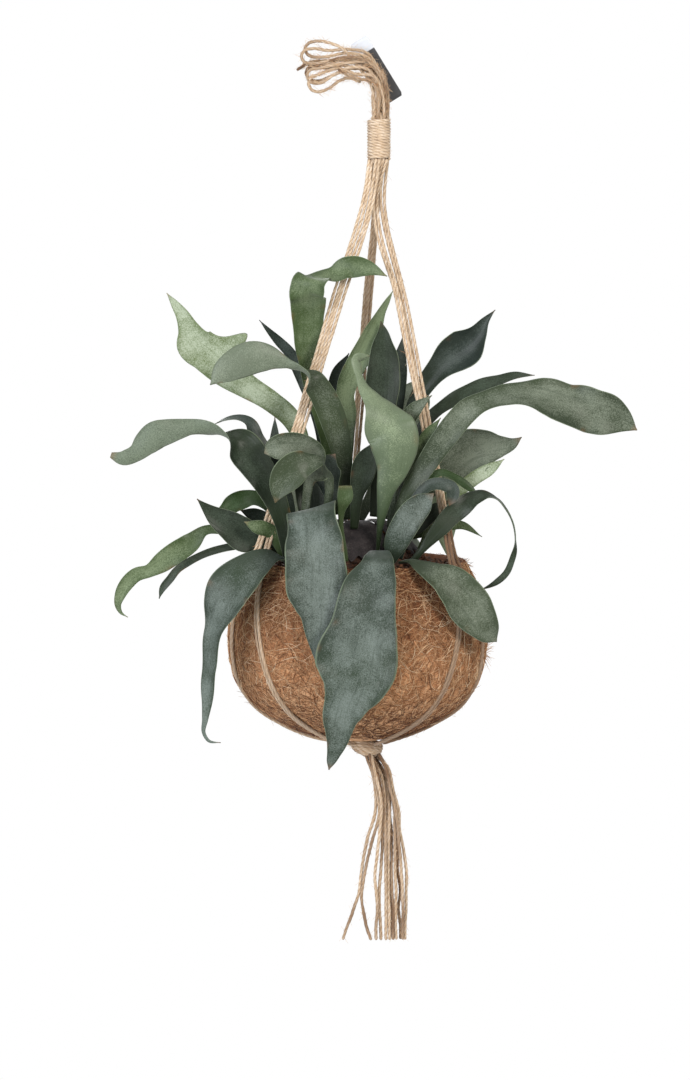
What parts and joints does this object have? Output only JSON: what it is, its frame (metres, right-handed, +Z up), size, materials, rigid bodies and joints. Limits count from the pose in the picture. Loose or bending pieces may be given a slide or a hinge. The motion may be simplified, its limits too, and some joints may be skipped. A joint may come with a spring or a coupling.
{
  "type": "hanging staghorn fern",
  "caption": "Staghorn fern with strap and antler fronds in a squat coir ball, slung in a jute twine hanger with a knot and tassel below.",
  "frame": {"origin": "middle of the whipping that gathers the hanger's cords, where the object is held", "axes": "+Z up along the pull of the hanger, -Y towards the plant's best side, +X to the right from there"},
  "size_m": [0.4189, 0.2478, 0.7287],
  "materials": {
    "frond_grey_green": "living leaf, matt with a fine grey felt of hairs",
    "frond_blue_grey": "living leaf, matt with a fine grey felt of hairs",
    "frond_sage": "living leaf, matt with a fine grey felt of hairs",
    "frond_mid_green": "living leaf, matt with a fine grey felt of hairs",
    "frond_bright_green": "living leaf, matt with a fine grey felt of hairs",
    "frond_light_green": "living leaf, matt with a fine grey felt of hairs",
    "frond_dark_green": "living leaf, matt with a fine grey felt of hairs",
    "frond_slate": "living leaf, matt with a fine grey felt of hairs",
    "shield_frond": "papery purple-brown shield leaf, matt",
    "coir": "felted coconut husk fibre, rough and hairy",
    "growing_medium": "crumbly peat and bark, matt",
    "jute": "three-ply jute twine, matt with loose fibres",
    "label_card": "blank plant label card, satin"
  },
  "bodies": {
    "root": {"upright_left_frond": "frond_mid_green", "sage_left_frond": "frond_sage", "arching_left_frond": "frond_grey_green", "slender_left_frond": "frond_slate", "long_left_frond": "frond_dark_green", "low_grey_left_frond": "frond_slate", "cupped_left_frond": "frond_grey_green", "folded_left_frond": "frond_grey_green", "broad_dark_frond": "frond_dark_green", "stubby_slate_frond": "frond_slate", "centre_dark_frond": "frond_dark_green", "young_centre_frond": "frond_mid_green", "bright_left_frond": "frond_bright_green", "dark_left_frond": "frond_dark_green", "teal_left_frond": "frond_slate", "hooked_left_frond": "frond_mid_green", "thin_left_frond": "frond_dark_green", "drooping_left_frond": "frond_blue_grey", "front_left_frond": "frond_blue_grey", "front_centre_frond": "frond_blue_grey", "front_right_frond": "frond_grey_green", "hooked_right_frond": "frond_dark_green", "thin_right_frond": "frond_bright_green", "grey_curl_right_frond": "frond_slate", "great_right_frond": "frond_grey_green", "dark_back_right_frond": "frond_dark_green", "broad_right_frond": "frond_grey_green", "two_tone_right_frond": "frond_slate", "pale_centre_frond": "frond_light_green", "dark_centre_frond": "frond_dark_green", "light_centre_frond": "frond_mid_green", "right_back_frond": "frond_slate", "short_right_frond": "frond_grey_green", "teal_right_frond": "frond_blue_grey", "dark_teal_right_frond": "frond_dark_green", "back_left_frond": "frond_grey_green", "back_drooping_frond": "frond_blue_grey", "back_right_frond": "frond_mid_green", "back_leaning_frond": "frond_grey_green", "coir_ball": "coir", "growing_medium": "growing_medium", "shield_frond_near": "shield_frond", "shield_frond_left": "shield_frond", "shield_frond_right": "shield_frond", "neck_whipping": "jute", "bottom_knot": "jute", "plant_label": "label_card", "hanger_left_pair_1": "jute", "hanger_left_pair_2": "jute", "hanger_right_pair_1": "jute", "hanger_right_pair_2": "jute", "hanger_back_pair_1": "jute", "hanger_back_pair_2": "jute", "tassel_tail_left": "jute", "tassel_tail_near": "jute", "tassel_tail_middle": "jute", "tassel_tail_right": "jute", "top_loop": "jute", "lower_loop": "jute", "cord_ends": "jute"}
  },
  "joints": []
}
